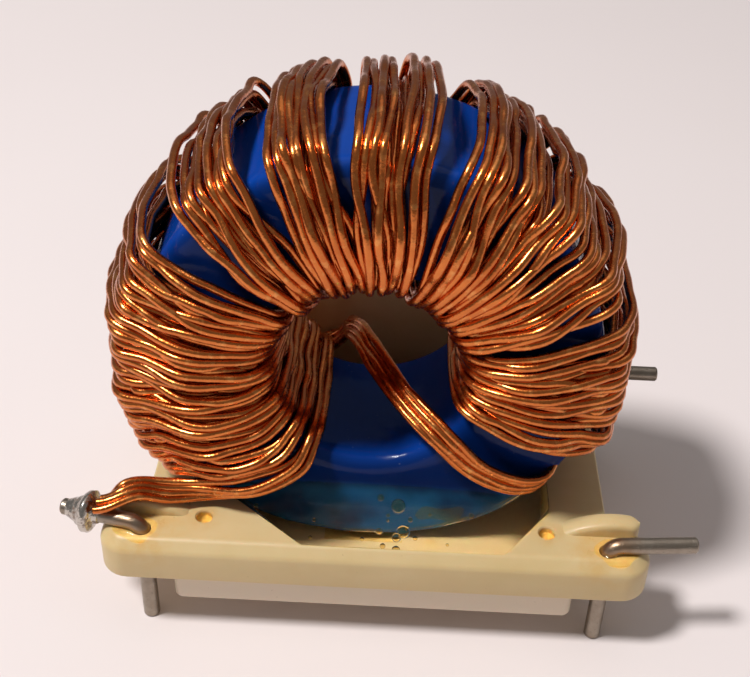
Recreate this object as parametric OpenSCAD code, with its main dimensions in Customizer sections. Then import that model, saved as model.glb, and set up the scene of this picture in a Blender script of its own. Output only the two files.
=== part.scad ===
// Toroidal inductor on a four-pin header: an upright ring core wound with four copper strands
// side by side, glued into the pocket of a moulded base.
// Millimetres. X runs along the long side of the base, Y from front to back, Z up.
// The ends of the four legs stand on Z = 0 and the core's axis runs along Y.

/* [Base] */
// length of the base over its four ears
base_w = 39.4; // [32:0.2:60]
// depth of the base from front edge to back edge
base_d = 23.7; // [23:0.1:40]
// length of the middle of the base, between the ears
waist_w = 33.6; // [26:0.2:52]
// height of the flat top of the base above the ends of the legs
base_top = 8.6; // [7:0.1:12]
// thickness of the plate that the ears belong to
plate_h = 3.4; // [2.4:0.1:4.4]
// depth of each ear, front to back
ear_d = 4.8; // [4.2:0.1:6]
// bevel round the top edge of the ears
bevel = 0.8; // [0.3:0.1:1.2]
// height of the rounded lip behind each pin
lip_h = 1.1; // [0.4:0.1:1.4]
// width of the upright wall behind the core
wall_w = 16.4; // [10:0.2:18]
// height of that wall above the flat top of the base
wall_h = 9; // [4:0.2:9.5]

/* [Pins] */
// diameter of the pin wire
pin_d = 1.2; // [0.8:0.05:1.4]
// distance between the left and right legs
pitch_x = 33; // [26:0.5:50]
// distance between the front and back legs
pitch_y = 20.5; // [17:0.1:37]
// how far the arms reach past the ends of the base
tip_past = 3.2; // [2.8:0.1:6]
// radius of the bend between leg and arm, on the middle of the wire
bend_r = 1.0; // [0.8:0.1:1.6]

/* [Core] */
// outside diameter of the coated core
core_od = 32.2; // [26:0.2:40]
// inside diameter of the coated core
core_id = 15.6; // [13:0.2:20]
// thickness of the coated core
core_h = 12.4; // [9:0.2:14]
// rounding of the coating at the core's edges
core_round = 1.2; // [0.6:0.1:1.6]
// height of the lowest point of the core above the ends of the legs
core_seat = 4.1; // [3.9:0.1:6]
// how far the core stands to the left of the middle of the base
core_shift = 0.9; // [0:0.1:1.5]

/* [Winding] */
// diameter of one copper strand
strand_d = 0.54; // [0.3:0.02:0.56]
// distance between the middles of neighbouring strands
strand_pitch = 0.62; // [0.58:0.01:0.64]
// smallest gap between the strands and the core
core_gap = 0.18; // [0.16:0.01:0.3]
// number of flat sides round a strand
strand_sides = 6; // [5:1:8]

/* [Adhesive] */
// how far the adhesive climbs the faces of the core above the base
fillet_h = 1.5; // [0.5:0.1:1.6]

/* [Hidden] */
$fn = 64;
fit_gap = 0.05;
tiny = 0.02;
leg_x = pitch_x / 2;
leg_y = pitch_y / 2;
plate_z = base_top - plate_h;
foot_z = plate_z - 2.6;
foot_w = waist_w - 4.6;
foot_d = base_d - 1.5;
ear_r = 2.1;
arm_z = base_top + pin_d / 2 - 0.05;
base_end = base_w / 2 - leg_x;
pin_waist = 0.04;
waist_from = plate_z - 0.2;
waist_h = arm_z - bend_r - waist_from;
core_x = -core_shift;
core_ro = core_od / 2;
core_ri = core_id / 2;
core_z = core_seat + core_ro;
face_y = core_h / 2;
pocket_floor = core_seat + 0.1;
pocket_y = base_d / 2 - bevel - 0.05;
wall_y = face_y + 3.85;
wall_t = 1.8;
wall_r = 3;
dimple_x = 12.35 * waist_w / 33.6;
dimple_y = leg_y - 1.6;

// pins in the order front left, front right, back left, back right:
// [side in X, side in Y, backward turn of the arm in degrees, how far the tip falls short]
pin_table = [
    [-1, -1, 13, 0.4],
    [1, -1, 5, 0.1],
    [-1, 1, 0, 0],
    [1, 1, 0, 0],
];

// one row a turn, going clockwise from the lower left seen from the front:
// [angle at the outside, angle in the hole, spacing of the strands outside, slack outside]
turns = [
    [222, 238, 0.62, 0.9],
    [210, 226, 0.62, 1.3],
    [201, 216, 0.62, 1.8],
    [192, 206, 0.62, 1.5],
    [183, 196, 0.62, 2.0],
    [174, 186, 0.62, 1.7],
    [164.5, 176, 0.62, 2.1],
    [155, 166, 0.62, 1.7],
    [145.5, 155.5, 0.62, 2.2],
    [132.8, 145.5, 0.62, 2.2],
    [124, 135.5, 0.62, 2.5],
    [108, 123, 0.62, 2.4],
    [99.2, 110.5, 0.62, 2.2],
    [89.5, 99, 0.62, 2.3],
    [79.5, 87.5, 0.62, 2.4],
    [64, 75, 0.62, 2.3],
    [54.5, 64, 0.62, 1.9],
    [45, 54, 0.62, 2.2],
    [34.5, 44, 0.62, 1.7],
    [25, 34.5, 0.62, 2.0],
    [15.5, 25, 0.62, 1.6],
    [4, 14, 0.62, 1.9],
    [-5.5, 4.5, 0.62, 1.5],
    [-15, -5, 0.62, 1.8],
    [-27, -60, 0.62, 0.8],
];
turn_count = len(turns);
stations = 16;
lead_pitch = 0.61;

// ---- pins ----

// one bent pin: a straight leg, a round bend and a straight arm; grow thickens it for clearance
// inside the ear the leg has a shallow waist, which the moulding grips
module pin_wire(row, grow = 0) {
    r = pin_d / 2 + grow;
    reach = base_end + tip_past - row[3];
    translate([row[0] * leg_x, row[1] * leg_y, 0])
        mirror([row[0] < 0 ? 1 : 0, 0, 0])
            rotate([0, 0, row[2]]) {
                translate([0, 0, -grow])
                    cylinder(h = waist_from + grow, r = r);
                translate([0, 0, waist_from])
                    cylinder(h = waist_h / 2, r1 = r, r2 = r - pin_waist);
                translate([0, 0, waist_from + waist_h / 2])
                    cylinder(h = waist_h / 2, r1 = r - pin_waist, r2 = r);
                translate([bend_r, 0, arm_z - bend_r])
                    rotate([90, 0, 0])
                        rotate([0, 0, 90])
                            rotate_extrude(angle = 90)
                                translate([bend_r, 0])
                                    circle(r = r);
                translate([bend_r, 0, arm_z])
                    rotate([0, 90, 0])
                        cylinder(h = reach / cos(row[2]) - bend_r + grow, r = r);
            }
}

module pin(row) {
    color("#b9b4a8")
        pin_wire(row);
}

// ---- base ----

// a bar with rounded ends in plan and a bevel round its top edge
module ear_bar() {
    body_h = plate_h - bevel;
    cx = base_w / 2 - ear_r;
    cy = ear_d / 2 - ear_r;
    for (sx = [-1, 1])
        for (sy = [-1, 1])
            translate([sx * cx, sy * cy, 0]) {
                cylinder(h = body_h, r = ear_r);
                translate([0, 0, body_h])
                    cylinder(h = bevel, r1 = ear_r, r2 = ear_r - bevel);
            }
    bar_piece(2 * cx, ear_d, body_h);
    rotate([0, 0, 90])
        bar_piece(2 * cy, base_w, body_h);
}

// a straight length of the bar along X, with its two long top edges bevelled
module bar_piece(length, width, body_h) {
    rotate([90, 0, 90])
        translate([0, 0, -length / 2])
            linear_extrude(height = length)
                polygon([
                    [-width / 2, 0],
                    [width / 2, 0],
                    [width / 2, body_h],
                    [width / 2 - bevel, body_h + bevel],
                    [-width / 2 + bevel, body_h + bevel],
                    [-width / 2, body_h],
                ]);
}

// the rounded lip behind a pin: a slice of a lying cylinder, trimmed to the ear
module lip() {
    lip_r = 6.7;
    lip_x = leg_x + 0.7;
    front = leg_y - 1.45;
    back = base_d / 2 - ear_d + 0.2;
    intersection() {
        translate([lip_x, 0, base_top + lip_h - lip_r])
            rotate([90, 0, 0])
                cylinder(h = base_d, r = lip_r, center = true);
        union() {
            translate([leg_x - 4, back, base_top - 0.5])
                cube([base_w / 2 - leg_x + 4 - 1.5, front - back, lip_h + 1]);
            translate([base_w / 2 - 1.5, (front + back) / 2, base_top - 0.5])
                cylinder(h = lip_h + 1, r = (front - back) / 2);
        }
    }
}

// outline of the pocket in the top of the base
module pocket_outline() {
    polygon([
        [-5.2, -pocket_y],
        [9.2, -pocket_y],
        [12.6 * waist_w / 33.6, -face_y - 0.4],
        [12.6 * waist_w / 33.6, face_y + 0.4],
        [9.2, wall_y],
        [-5.2, wall_y],
        [-10.4 * waist_w / 33.6, face_y + 0.4],
        [-10.4 * waist_w / 33.6, -face_y - 0.4],
    ]);
}

// the upright wall behind the core, with round top corners
module back_wall() {
    top = plate_h + wall_h;
    translate([core_x, wall_y + wall_t, plate_z])
        rotate([90, 0, 0])
            linear_extrude(height = wall_t) {
                translate([-wall_w / 2, 0])
                    square([wall_w, top - wall_r]);
                translate([-wall_w / 2 + wall_r, 0])
                    square([wall_w - 2 * wall_r, top]);
                for (s = [-1, 1])
                    translate([s * (wall_w / 2 - wall_r), top - wall_r])
                        circle(r = wall_r);
            }
}

module base() {
    color("#e9dcb4")
        difference() {
            union() {
                for (sy = [-1, 1])
                    translate([0, sy * (base_d - ear_d) / 2, plate_z])
                        ear_bar();
                translate([-waist_w / 2, -base_d / 2 + 2, plate_z])
                    cube([waist_w, base_d - 4, plate_h]);
                translate([-foot_w / 2, -foot_d / 2, foot_z])
                    cube([foot_w, foot_d, plate_z - foot_z + 0.5]);
                for (sx = [0, 1])
                    for (sy = [0, 1])
                        mirror([sx, 0, 0])
                            mirror([0, sy, 0])
                                lip();
                back_wall();
            }
            translate([0, 0, pocket_floor])
                linear_extrude(height = base_top)
                    pocket_outline();
            // the seat that follows the round of the core
            translate([core_x, 0, core_z])
                rotate([90, 0, 0])
                    cylinder(h = core_h + 0.5, r = core_ro + 0.2, center = true);
            for (row = pin_table)
                pin_wire(row, fit_gap);
            for (sx = [-1, 1])
                for (sy = [-1, 1])
                    translate([sx * dimple_x, sy * dimple_y, base_top - 0.8])
                        cylinder(h = 1, d = 1.2);
        }
}

// ---- core ----

// cross-section of the coated core, as a rounded box turned about the axis
module core_section(grow = 0) {
    steps = 6;
    r = core_round + grow;
    cx = [core_ro - core_round, core_ri + core_round];
    cy = face_y - core_round;
    corners = [[cx[0], cy, 0], [cx[1], cy, 90], [cx[1], -cy, 180], [cx[0], -cy, 270]];
    polygon([
        for (c = corners)
            for (i = [0 : steps])
                [c[0] + r * cos(c[2] + 90 * i / steps), c[1] + r * sin(c[2] + 90 * i / steps)]
    ]);
}

module core_ring(grow = 0) {
    translate([core_x, 0, core_z])
        rotate([90, 0, 0])
            rotate_extrude()
                core_section(grow);
}

module core() {
    color("#0b2f8f")
        core_ring();
}

// ---- adhesive ----

// fillet of adhesive up the front and back faces of the core, lower towards its ends
module fillets() {
    dome_r = 20;
    intersection() {
        for (s = [0, 1])
            mirror([0, s, 0])
                rotate([90, 0, 90])
                    translate([0, 0, -9])
                        linear_extrude(height = 18)
                            polygon([
                                [face_y - core_round, base_top - 0.5],
                                [pocket_y - 1, base_top - 0.5],
                                [pocket_y - 1, base_top - 0.1],
                                [face_y + 1.2, base_top + fillet_h * 0.35],
                                [face_y, base_top + fillet_h],
                                [face_y - core_round, base_top + fillet_h],
                            ]);
        translate([0, 0, base_top + fillet_h - dome_r])
            rotate([90, 0, 0])
                cylinder(h = base_d, r = dome_r, center = true);
    }
}

module adhesive() {
    color("#c79a3c")
        difference() {
            union() {
                translate([0, 0, pocket_floor + tiny])
                    linear_extrude(height = base_top - 0.1 - pocket_floor - tiny)
                        pocket_outline();
                intersection() {
                    fillets();
                    translate([0, 0, pocket_floor + tiny])
                        linear_extrude(height = base_top)
                            pocket_outline();
                }
            }
            core_ring(tiny);
        }
}

// ---- winding ----

function unit(v) = v / norm(v);
function middle_r() = (core_ro + core_ri) / 2;

// a point at radius r and angle a about the core's axis, moved t along the circle
function round_core(r, y, a, t) =
    let (b = a + t / r * 180 / PI)
    [core_x + r * cos(b), y, core_z + r * sin(b)];

// direction along the circle at angle a
function along(a) = [-sin(a), 0, cos(a)];

// distance of a strand's middle from the core for a given layer
function layer(n) = core_gap + strand_d / 2 + n * strand_pitch;

// how much a slanting pass spreads its strands so that they stay clear of each other
function slant(k, from_a, to_a) =
    let (run = (from_a - to_a) * PI / 180 * (middle_r() - 0.45))
    let (share = k == 11 ? 0.9 : k == 13 ? 0.5 : 1.1)
    1 + (norm([run, 7.5]) / 7.5 - 1) * share;

// Stations 0 to 15 take a strand once round the section of the core: 0 is outside, 1 to 3 the
// front outer edge, 4 the front face, 5 to 7 the front inner edge, 8 the hole, 9 to 11 the back
// inner edge, 12 the back face and 13 to 15 the back outer edge. In the hole the four strands
// lie two by two, with every second turn stacked on its neighbours.
// Each entry is [point, side-by-side direction].
function station(i, j, k) =
    let (turn = turns[i])
    let (next = turns[min(i + 1, turn_count - 1)])
    let (row = k >= 12 ? next : turn)
    let (odd = i % 2)
    let (side = j < 2 ? -1 : 1)
    let (flank = (j == 0 || j == 3) ? 1 : 0)
    let (rise = 1 - flank)
    let (s = k <= 8 ? -1 : 1)
    let (a_out = row[0])
    let (a_in = turn[1])
    let (slanting = k == 4 || (k >= 11 && k <= 13))
    let (q = slanting ? slant(k, k == 4 ? turn[0] : next[0], a_in) : 1)
    let (spread = (k >= 4 && k <= 12) ? strand_pitch : max(row[2], strand_pitch))
    let (half = max((k >= 11 && k <= 13) ? strand_pitch * 0.556 : strand_pitch * 0.516, spread / 2))
    let (open = (k <= 4 || k >= 12) ? 1 : (k == 5 || k == 11) ? 0.35 : 0)
    let (t = q * side * (half + flank * spread * open))
    let (flat = face_y - core_round)
    let (c = cos(45))
    let (n = (k == 2 || k == 14) ? 0.35 * odd
           : (k == 3 || k == 13) ? odd + 0.3 * rise
           : (k < 2 || k == 15) ? 0
           : 2 * odd + rise)
    let (e = layer(n))
    let (er = core_round + e)
    let (lift = row[3] * ((k == 1 || k == 15) ? 0.55 : (k == 2 || k == 14) ? 0.2 : 0))
    k == 0 ? [round_core(core_ro + e + turn[3], 0, turn[0], t), along(turn[0])]
    : (k == 1 || k == 15) ? [round_core(core_ro + e + lift, s * flat, a_out, t), along(a_out)]
    : (k == 2 || k == 14) ?
        [
            round_core(core_ro - core_round + er * c + lift, s * (flat + er * c), a_out, t),
            along(a_out)
        ]
    : (k == 3 || k == 13) ?
        [round_core(core_ro - core_round, s * (flat + er), a_out, t), along(a_out)]
    : (k == 4 || k == 12) ?
        [
            round_core(middle_r() + 0.3, s * (face_y + e + 0.1), a_out * 0.55 + a_in * 0.45, t),
            along(a_out * 0.55 + a_in * 0.45)
        ]
    : (k == 5 || k == 11) ? [round_core(core_ri + core_round, s * (flat + er), a_in, t), along(a_in)]
    : (k == 6 || k == 10) ?
        [round_core(core_ri + core_round - er * c, s * (flat + er * c), a_in, t), along(a_in)]
    : (k == 7 || k == 9) ? [round_core(core_ri - e, s * flat, a_in, t), along(a_in)]
    : [round_core(core_ri - e - 0.1, 0, a_in, t), along(a_in)];

// a point beside a left pin's arm, at distance reach from the leg, on a circle round the arm
function beside_arm(row, reach, j, r) =
    let (phi = 62 - 31 * j)
    let (x = -leg_x - reach * cos(row[2]))
    let (y = row[1] * leg_y + reach * sin(row[2]))
    let (inward = -row[1] * r * sin(phi))
    [
        [x + inward * sin(row[2]), y + inward * cos(row[2]), arm_z + r * cos(phi)],
        [0, row[1] * cos(phi), sin(phi)]
    ];

// a hand-chosen point of a free lead: the middle of the four strands and their
// side-by-side direction; sign tells which way the strands are counted
function lead_point(p, u, j, sign) =
    [p + sign * (j - 1.5) * lead_pitch * unit(u), sign * unit(u)];

// points above the left ears, measured from the leg and the flat top of the base
function ear_point(sy, x, y, z) = [-leg_x + x, sy * (leg_y + y), base_top + z];

// points round the core, measured from its axis and from its front (-1) or back (1) face
function core_point(x, y, z) = [core_x + x * core_ro / 16.1, y, core_z + z * core_ro / 16.1];

// the lead from the front left pin to the first turn
function lead_in(j) = [
    beside_arm(pin_table[0], base_end + 0.35, j, 1.14),
    beside_arm(pin_table[0], base_end - 0.35, j, 1.2),
    lead_point(ear_point(-1, -1.5, -1.3, 2.25), [-0.25, 0.9, 0.3], j, -1),
    lead_point(ear_point(-1, -0.4, -1.9, 2.25), [-0.3, 0.9, 0.3], j, -1),
    lead_point([-15.2, -face_y - 1.7, base_top + 1.65], [-0.3, 0.6, 0.7], j, -1),
    lead_point([core_x - 0.75 * core_ro, -face_y - 1.3, base_top + 1.5], [-0.4, 0.1, 0.9], j, -1),
];

// the lead from the last turn, across the front, through the hole and down to the back left pin
function lead_out(j) = [
    lead_point(core_point(14.5, -face_y + 1.4, -8.1), [0.4, -0.15, 0.9], j, 1),
    lead_point(core_point(13.5, -face_y - 0.3, -8.7), [0.25, -0.3, 0.9], j, 1),
    lead_point(core_point(11, -face_y - 0.9, -8.6), [0.2, -0.05, 0.95], j, 1),
    lead_point(core_point(7.7, -face_y - 1, -7), [0.45, -0.1, 0.9], j, 1),
    lead_point(core_point(5.5, -face_y - 0.7, -4.8), [0.7, -0.1, 0.7], j, 1),
    lead_point(core_point(3.7, -face_y + 1.2, -3.3), [0.7, 0.1, 0.7], j, 1),
    lead_point(core_point(1.8, -1.5, -2.2), [0.6, 0.3, 0.7], j, 1),
    lead_point(core_point(0, 2, -1.9), [0.4, 0.5, 0.75], j, 1),
    lead_point(core_point(-1.3, face_y - 1.4, -3.4), [0.2, 0.85, 0.5], j, 1),
    lead_point(core_point(-2.2, face_y + 0.8, -5.7), [0, 1, 0.25], j, 1),
    lead_point(core_point(-3.4, face_y + 2.2, -7.8), [0, 1, 0.3], j, 1),
    lead_point([-7.5, face_y + 2.4, base_top + 2.3], [-0.1, 0.8, 0.6], j, 1),
    lead_point([-11.5, face_y + 2.75, base_top + 1.95], [-0.1, 0.8, 0.6], j, 1),
    lead_point([-15.2, face_y + 2.5, base_top + 2.1], [0, 0.9, 0.4], j, 1),
    lead_point(ear_point(1, -0.7, -1.6, 2.15), [0.2, 0.95, 0.2], j, 1),
    lead_point(ear_point(1, -1.7, -1.2, 2.15), [0.1, 0.95, 0.1], j, 1),
    beside_arm(pin_table[2], base_end - 0.3, j, 1.23),
    beside_arm(pin_table[2], base_end + 0.35, j, 1.14),
];

// stations of one turn that a strand really has: the first turn starts on the front face and
// the last ends at the outside of the core
function first_station(i) = i == 0 ? 4 : 0;
function last_station(i) = i == turn_count - 1 ? 0 : stations - 1;

function strand_path(j) = concat(
    lead_in(j),
    [
        for (i = [0 : turn_count - 1])
            for (k = [first_station(i) : last_station(i)])
                station(i, j, k)
    ],
    lead_out(j)
);

// a round wire along a path of [point, side direction] entries
module wire(path, d) {
    n = strand_sides;
    last = len(path) - 1;
    points = [
        for (i = [0 : last])
            let (t = unit(path[min(i + 1, last)][0] - path[max(i - 1, 0)][0]))
            let (ref = path[i][1])
            let (n1 = unit(ref - (ref * t) * t))
            let (n2 = cross(t, n1))
            for (k = [0 : n - 1])
                path[i][0] + d / 2 * (cos(360 * k / n) * n1 + sin(360 * k / n) * n2)
    ];
    sides = [
        for (i = [0 : last - 1])
            for (k = [0 : n - 1])
                let (a = i * n + k)
                let (b = i * n + (k + 1) % n)
                each [[a, b + n, b], [a, a + n, b + n]]
    ];
    first_cap = [for (k = [0 : n - 1]) k];
    last_cap = [for (k = [n - 1 : -1 : 0]) last * n + k];
    polyhedron(points = points, faces = concat(sides, [first_cap], [last_cap]), convexity = 10);
}

module strand(j) {
    color("#a5562a")
        wire(strand_path(j), strand_d);
}

// ---- solder ----

// a solder bead round the arm of a left pin, just past the end of the base: a disc of wire ends
// with a cone on each side
module solder_bead(row) {
    bore = pin_d / 2 + tiny;
    neck = bore + 0.1;
    disc = 1.6 * pin_d / 1.2;
    color("#a8a196")
        translate([-leg_x, row[1] * leg_y, arm_z])
            mirror([1, 0, 0])
                rotate([0, 0, row[2]])
                    translate([base_end, 0, 0])
                        rotate([0, 90, 0])
                            rotate_extrude()
                                polygon([
                                    [bore, 0],
                                    [neck, 0],
                                    [neck + 0.08, 0.4],
                                    [disc - 0.15, 0.5],
                                    [disc, 0.75],
                                    [disc, 1.15],
                                    [disc - 0.3, 1.4],
                                    [disc - 0.65, 1.9],
                                    [neck - 0.02, 2.5],
                                    [bore, 2.55],
                                ]);
}

// ---- nodes ----

base();
core();
adhesive();
pin(pin_table[0]);  // pin_front_left
pin(pin_table[1]);  // pin_front_right
pin(pin_table[2]);  // pin_back_left
pin(pin_table[3]);  // pin_back_right
strand(0);  // strand_1
strand(1);  // strand_2
strand(2);  // strand_3
strand(3);  // strand_4
solder_bead(pin_table[0]);  // solder_front_left
solder_bead(pin_table[2]);  // solder_back_left
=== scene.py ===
import math
import random

import bmesh
import bpy
from mathutils import Matrix, Vector, noise


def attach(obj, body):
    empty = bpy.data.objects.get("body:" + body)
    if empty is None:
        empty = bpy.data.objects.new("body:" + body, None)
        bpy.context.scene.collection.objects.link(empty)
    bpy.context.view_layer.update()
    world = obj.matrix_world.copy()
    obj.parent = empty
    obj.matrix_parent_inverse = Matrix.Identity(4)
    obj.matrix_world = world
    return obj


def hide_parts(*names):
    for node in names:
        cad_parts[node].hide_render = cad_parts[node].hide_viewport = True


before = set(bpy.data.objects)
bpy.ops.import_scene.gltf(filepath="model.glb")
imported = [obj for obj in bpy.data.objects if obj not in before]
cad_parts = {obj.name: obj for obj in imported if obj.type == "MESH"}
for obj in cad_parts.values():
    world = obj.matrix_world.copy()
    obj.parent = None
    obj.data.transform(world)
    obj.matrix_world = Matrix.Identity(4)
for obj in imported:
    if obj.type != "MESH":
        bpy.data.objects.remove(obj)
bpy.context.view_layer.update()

MM = 0.001

# ---------------------------------------------------------------------------------------------
# Moulded base. One cream plastic moulding: an I-shaped plate with four ears, a lower foot, a
# pocket for the core, a rounded lip behind each pin and an upright wall behind the core.
# ---------------------------------------------------------------------------------------------
BASE_W = 39.4 * MM
BASE_D = 23.7 * MM
WAIST_W = 33.6 * MM
BASE_TOP = 8.6 * MM
PLATE_H = 3.4 * MM
PLATE_Z = BASE_TOP - PLATE_H
EAR_D = 4.8 * MM
EAR_R = 2.1 * MM
BEVEL = 0.8 * MM
# the foot and the wall reach this far up into the plate, to join it
ROOTED_Z = PLATE_Z + 0.5 * MM
FOOT_Z = PLATE_Z - 2.6 * MM
FOOT_W = WAIST_W - 4.6 * MM
FOOT_D = BASE_D - 1.5 * MM
LIP_H = 1.1 * MM
LEG_X = 16.5 * MM
LEG_Y = 10.25 * MM
POCKET_FLOOR = 4.2 * MM
POCKET_Y = BASE_D / 2 - BEVEL - 0.05 * MM
CORE_X = -0.9 * MM
CORE_Z = 20.2 * MM
CORE_RO = 16.1 * MM
CORE_RI = 7.8 * MM
CORE_H = 12.4 * MM
CORE_ROUND = 1.2 * MM
MIDDLE_R = (CORE_RO + CORE_RI) / 2
FACE_Y = CORE_H / 2
WALL_W = 16.4 * MM
WALL_TOP = BASE_TOP + 9.0 * MM
WALL_Y = FACE_Y + 3.85 * MM
WALL_T = 1.8 * MM
WALL_R = 3.0 * MM
DIMPLE_X = 12.35 * MM
DIMPLE_Y = LEG_Y - 1.6 * MM
PIN_R = 0.6 * MM
ARM_Z = BASE_TOP + PIN_R - 0.05 * MM
BEND_R = 1.0 * MM
ARM_PAST = 3.2 * MM
# side in X, side in Y, backward turn of the arm in degrees, how far the tip falls short
PINS = {
    "front_left": (-1, -1, 13, 0.4 * MM),
    "front_right": (1, -1, 5, 0.1 * MM),
    "back_left": (-1, 1, 0, 0.0),
    "back_right": (1, 1, 0, 0.0),
}
CORNERS = [(sx, sy) for sx in (-1, 1) for sy in (-1, 1)]
# a softened edge in mm: how far it draws in, and how far along that is
SOFT_EDGE = [(0.25, 0.0), (0.07, 0.07), (0.0, 0.25)]
# a dimple in mm: its radius, and the height over the flat top
DIMPLE_PROFILE = [(0.35, -0.8), (0.56, -0.6), (0.6, -0.1), (0.72, 0.05)]


def circle(radius, count):
    """Points of a circle about the origin, anticlockwise."""
    angles = [2 * math.pi * i / count for i in range(count)]
    return [Vector((radius * math.cos(a), radius * math.sin(a))) for a in angles]


def rounded_box(width, depth, radius):
    """Outline of a box with rounded corners about the origin, anticlockwise."""
    steps = 8
    points = []
    for quarter, (sx, sy) in enumerate([(1, 1), (-1, 1), (-1, -1), (1, -1)]):
        centre = Vector((sx * (width / 2 - radius), sy * (depth / 2 - radius)))
        for i in range(steps + 1):
            a = math.pi / 2 * (quarter + i / steps)
            points.append(centre + radius * Vector((math.cos(a), math.sin(a))))
    return points


def placed(name, data):
    """An object with the given data, linked into the scene."""
    made = bpy.data.objects.new(name, data)
    bpy.context.scene.collection.objects.link(made)
    return made


def meshed(name, points, faces):
    """A mesh object from points and faces."""
    mesh = bpy.data.meshes.new(name)
    mesh.from_pydata(points, [], faces)
    mesh.update()
    return placed(name, mesh)


def stacked(name, rings):
    """A closed mesh object from rings of 3-D points, all of one length, joined in order."""
    count = len(rings[0])
    faces = [tuple(reversed(range(count)))]
    for r in range(len(rings) - 1):
        for i in range(count):
            j = (i + 1) % count
            faces.append((r * count + i, r * count + j, (r + 1) * count + j, (r + 1) * count + i))
    faces.append(tuple(range((len(rings) - 1) * count, len(rings) * count)))
    return meshed(name, [p for ring in rings for p in ring], faces)


def level(points, z, centre=(0, 0)):
    """A flat outline at a height, moved to a centre."""
    return [Vector((p.x + centre[0], p.y + centre[1], z)) for p in points]


def cut(body, tools, operation="DIFFERENCE"):
    """Joins the tools to the body or cuts them out of it, and removes them."""
    for tool in tools:
        modifier = body.modifiers.new("cut", "BOOLEAN")
        modifier.operation = operation
        modifier.solver = "MANIFOLD"
        modifier.object = tool
        applied(body)
        bpy.data.objects.remove(tool)
    return body


def evaluated_mesh(body):
    """The object's mesh as its modifiers leave it."""
    bpy.context.view_layer.update()
    evaluated = body.evaluated_get(bpy.context.evaluated_depsgraph_get())
    return bpy.data.meshes.new_from_object(evaluated)


def applied(body):
    """Turns the object's modifiers into its plain mesh and takes them off."""
    mesh = evaluated_mesh(body)
    old = body.data
    body.modifiers.clear()
    body.data = mesh
    if old.users == 0:
        bpy.data.meshes.remove(old)
    return body


def smooth(body, degrees):
    """Shades smooth across edges flatter than the given angle."""
    body.data.polygons.foreach_set("use_smooth", [True] * len(body.data.polygons))
    body.data.set_sharp_from_angle(angle=math.radians(degrees))


def edge_rings(width, depth, radius, bottom, top, bottom_round, bevel, y=0.0):
    """Rings of a plate with a softened bottom edge and a bevel with soft corners at the top."""
    soft = 0.35 * bevel
    steps = 6
    profile = []
    for i in range(4):
        a = math.pi / 2 * i / 3
        profile.append((bottom_round * (1 - math.sin(a)), bottom + bottom_round * (1 - math.cos(a))))
    # the bevel, with its two corners rounded off by short arcs
    corners = [(0, top - bevel - soft), (0, top - bevel), (bevel, top), (bevel + soft, top)]
    for first, corner, last in zip(corners, corners[1:], corners[2:]):
        a = Vector(first) - Vector(corner)
        b = Vector(last) - Vector(corner)
        for i in range(steps + 1):
            t = i / steps
            p = Vector(corner) + a.normalized() * soft * (1 - t) ** 2 + b.normalized() * soft * t ** 2
            profile.append((p.x, p.y))
    sharpest = 0.05 * MM
    return [
        level(rounded_box(width - 2 * inset, depth - 2 * inset, max(radius - inset, sharpest)), z, (0, y))
        for inset, z in profile
    ]


def ridge(sx, sy):
    """The rounded lip behind a pin: low at its inner end, highest past the leg, round outside."""
    lip_r = 6.7 * MM
    lip_x = LEG_X + 0.7 * MM
    front = LEG_Y - 1.45 * MM
    back = BASE_D / 2 - EAR_D + 0.2 * MM
    half = (front - back) / 2
    middle = (front + back) / 2
    start = lip_x - 3.9 * MM
    stop = BASE_W / 2 - 1.5 * MM + half
    slices = 30
    rings = []
    for i in range(slices + 1):
        x = start + (stop - start) * math.sin(math.pi / 2 * i / slices)
        rise = math.sqrt(lip_r ** 2 - (x - lip_x) ** 2) - lip_r + LIP_H
        past = max(0.0, x - (stop - half)) / half
        wide = half * math.sqrt(max(1 - past ** 2, 0.002))
        crown = min(0.42 * MM, wide)
        top = BASE_TOP + max(rise, -0.3 * MM)
        foot = BASE_TOP - 0.6 * MM
        ring = [Vector((sx * x, sy * (middle - wide), foot))]
        for k in range(9):
            a = math.pi * k / 8
            side = -1 if k < 4 else 1 if k > 4 else 0
            flat = side * (wide - crown)
            y = middle + flat - crown * math.cos(a)
            ring.append(Vector((sx * x, sy * y, top - crown + crown * math.sin(a))))
        ring.append(Vector((sx * x, sy * (middle + wide), foot)))
        rings.append(ring if sx * sy < 0 else ring[::-1])
    return stacked("lip", rings)


def back_wall():
    """The upright wall behind the core, with round top corners and softened edges."""
    half = WALL_W / 2
    outline = [Vector((-half, ROOTED_Z)), Vector((half, ROOTED_Z))]
    for sx, start in ((1, 0), (-1, math.pi / 2)):
        for i in range(13):
            a = start + math.pi / 2 * i / 12
            outline.append(Vector((
                sx * (half - WALL_R) + WALL_R * math.cos(a),
                WALL_TOP - WALL_R + WALL_R * math.sin(a),
            )))
    middle = Vector((0, (PLATE_Z + WALL_TOP) / 2))
    soft = [(along * MM, inset * MM) for inset, along in SOFT_EDGE]
    through = soft + [(WALL_T - along, inset) for along, inset in reversed(soft)]
    rings = []
    for y, inset in through:
        shrink = 1 - inset / half
        rings.append([
            Vector((CORE_X + p.x * shrink, WALL_Y + y, middle.y + (p.y - middle.y) * shrink))
            for p in outline
        ])
    return stacked("back_wall", rings)


def pin_frame(pin):
    """Start of the leg, outward direction of the arm, and the arm's length from the leg."""
    sx, sy, turn, short = PINS[pin]
    a = math.radians(turn)
    out = Vector((sx * math.cos(a), math.sin(a), 0))
    reach = (BASE_W / 2 + ARM_PAST - short - LEG_X) / math.cos(a)
    return Vector((sx * LEG_X, sy * LEG_Y, 0)), out, reach


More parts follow.
